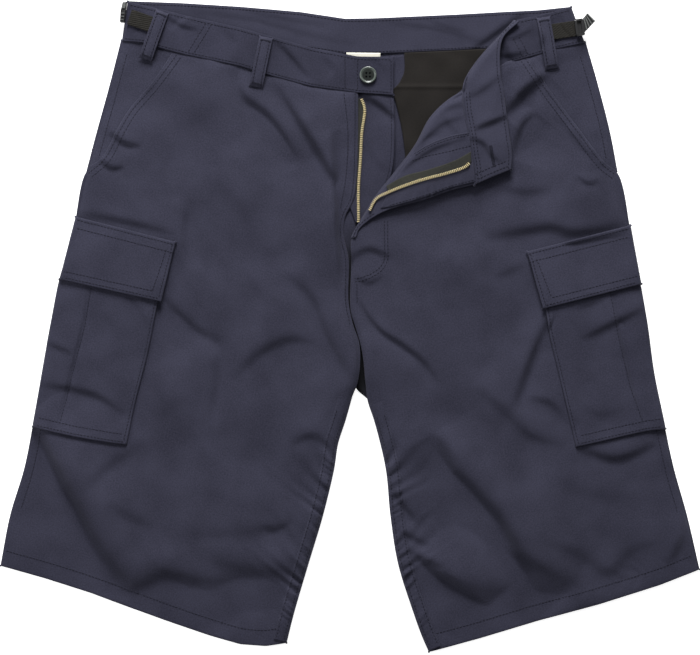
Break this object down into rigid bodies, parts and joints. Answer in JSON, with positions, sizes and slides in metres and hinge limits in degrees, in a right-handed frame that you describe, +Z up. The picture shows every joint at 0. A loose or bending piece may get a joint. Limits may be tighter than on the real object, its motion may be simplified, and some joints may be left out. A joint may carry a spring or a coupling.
{
  "type": "cargo shorts",
  "caption": "Navy twill cargo shorts laid flat, fly open and one front turned over, with bellows thigh pockets, belt loops and side adjusters.",
  "frame": {"origin": "centre of the laid-out garment, on the surface that it lies on", "axes": "+X towards the side that the viewer sees on the right, +Y from the hems towards the waist, +Z up from the surface"},
  "size_m": [0.732, 0.6825, 0.0142],
  "materials": {
    "twill_navy": "matt fine twill",
    "twill_wrong_side": "matt twill, wrong side",
    "pocketing": "thin plain weave",
    "zip_tape": "herringbone tape",
    "webbing": "ribbed webbing",
    "label_tape": "satin tape",
    "zip_brass": "bright",
    "button_plastic": "satin",
    "buckle_plastic": "satin"
  },
  "bodies": {
    "root": {"back_left": "twill_navy", "back_right": "twill_navy", "front_left": "twill_navy", "front_right": "twill_navy", "slash_facing_left": "twill_navy", "slash_facing_right": "twill_navy", "back_waistband": "twill_wrong_side", "waistband_left": "twill_navy", "waistband_right": "twill_navy", "size_label": "label_tape", "back_pocket_bag": "pocketing", "fly_shield": "twill_navy", "zip_tape_left": "zip_tape", "zip_chain_left": "zip_brass", "zip_slider": "zip_brass", "turned_front": "twill_wrong_side", "turned_waistband": "twill_wrong_side", "fly_facing": "twill_wrong_side", "zip_tape_right": "zip_tape", "zip_chain_right": "zip_brass", "inseam_lap_left": "twill_navy", "inseam_lap_right": "twill_navy", "cargo_pocket_left": "twill_navy", "cargo_pocket_right": "twill_navy", "cargo_flap_left": "twill_navy", "cargo_flap_right": "twill_navy", "belt_loop_left_side": "twill_navy", "belt_loop_left_front": "twill_navy", "belt_loop_right_side": "twill_navy", "adjuster_strap_left": "webbing", "adjuster_strap_right": "webbing", "waist_button": "button_plastic", "adjuster_buckle_left": "buckle_plastic", "adjuster_buckle_right": "buckle_plastic", "buckle_lever_right": "buckle_plastic"}
  },
  "joints": []
}
